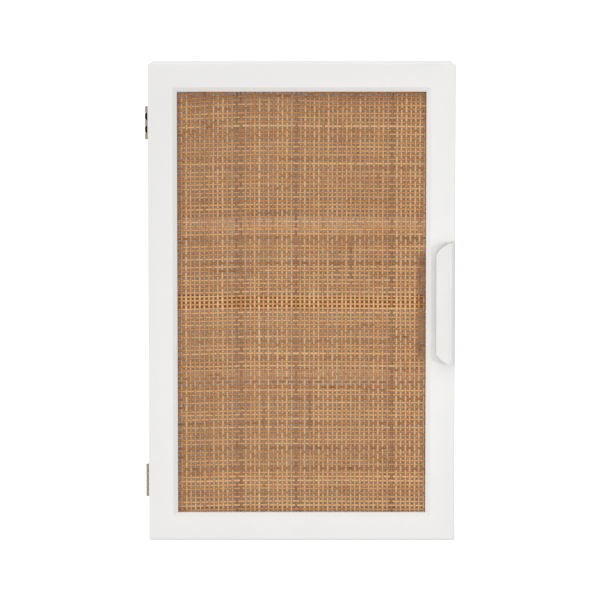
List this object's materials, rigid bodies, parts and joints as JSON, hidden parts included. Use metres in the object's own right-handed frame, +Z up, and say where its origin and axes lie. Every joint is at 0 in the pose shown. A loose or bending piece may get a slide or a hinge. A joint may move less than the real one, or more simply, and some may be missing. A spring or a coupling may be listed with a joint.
{
  "type": "wall cabinet",
  "caption": "Small white wall cabinet with a hinged framed door of woven cane, a half-moon edge pull and shelves inside.",
  "frame": {"origin": "centre of the carcass underside, midway between the carcass front edge and its back", "axes": "+Z up, the door faces -Y, the hinges are at -X"},
  "size_m": [0.3245, 0.161, 0.5],
  "materials": {
    "white_paint": "satin white paint over smooth board",
    "back_board": "satin white painted thin board",
    "pull_paint": "satin white paint",
    "cane": "natural split cane, lightly glossy",
    "bar_wood": "bare mid-brown wood",
    "nickel": "warm satin nickel",
    "small_steel": "satin zinc-plated steel",
    "magnet_steel": "dull grey steel",
    "white_plastic": "matt white",
    "bumper_rubber": "translucent-looking soft pad"
  },
  "bodies": {
    "cabinet": {"back_panel": "back_board", "bottom_panel": "white_paint", "bumper_lower": "bumper_rubber", "bumper_upper": "bumper_rubber", "catch_body": "white_plastic", "catch_magnet": "magnet_steel", "catch_screw_lower": "small_steel", "catch_screw_upper": "small_steel", "hanger_left": "small_steel", "hanger_left_screw_lower": "small_steel", "hanger_left_screw_upper": "small_steel", "hanger_right": "small_steel", "hanger_right_screw_lower": "small_steel", "hanger_right_screw_upper": "small_steel", "hinge_lower_carcass_leaf": "nickel", "hinge_lower_carcass_screw_lower": "small_steel", "hinge_lower_carcass_screw_upper": "small_steel", "hinge_lower_pin": "nickel", "hinge_upper_carcass_leaf": "nickel", "hinge_upper_carcass_screw_lower": "small_steel", "hinge_upper_carcass_screw_upper": "small_steel", "hinge_upper_pin": "nickel", "lower_shelf": "white_paint", "lower_shelf_pin_left_front": "small_steel", "lower_shelf_pin_left_rear": "small_steel", "lower_shelf_pin_right_front": "small_steel", "lower_shelf_pin_right_rear": "small_steel", "side_panel_left": "white_paint", "side_panel_right": "white_paint", "top_panel": "white_paint", "upper_shelf": "white_paint", "upper_shelf_pin_left_front": "small_steel", "upper_shelf_pin_left_rear": "small_steel", "upper_shelf_pin_right_front": "small_steel", "upper_shelf_pin_right_rear": "small_steel"},
    "door": {"cane_panel": "cane", "cane_strip_bottom": "white_paint", "cane_strip_left": "white_paint", "cane_strip_right": "white_paint", "cane_strip_top": "white_paint", "door_bottom_rail": "white_paint", "door_left_stile": "white_paint", "door_mid_rail": "bar_wood", "door_right_stile": "white_paint", "door_top_rail": "white_paint", "hinge_lower_door_leaf": "nickel", "hinge_lower_door_screw_lower": "small_steel", "hinge_lower_door_screw_upper": "small_steel", "hinge_upper_door_leaf": "nickel", "hinge_upper_door_screw_lower": "small_steel", "hinge_upper_door_screw_upper": "small_steel", "pull": "pull_paint", "pull_screw_lower": "small_steel", "pull_screw_upper": "small_steel", "strike_plate": "small_steel", "strike_screw": "small_steel"}
  },
  "joints": [
    {"name": "door_hinge", "type": "hinge", "parent": "cabinet", "child": "door", "pos_m": [-0.1621, -0.066, 0.25], "axis": [0, 0, -1], "range_deg": [0, 180]}
  ]
}
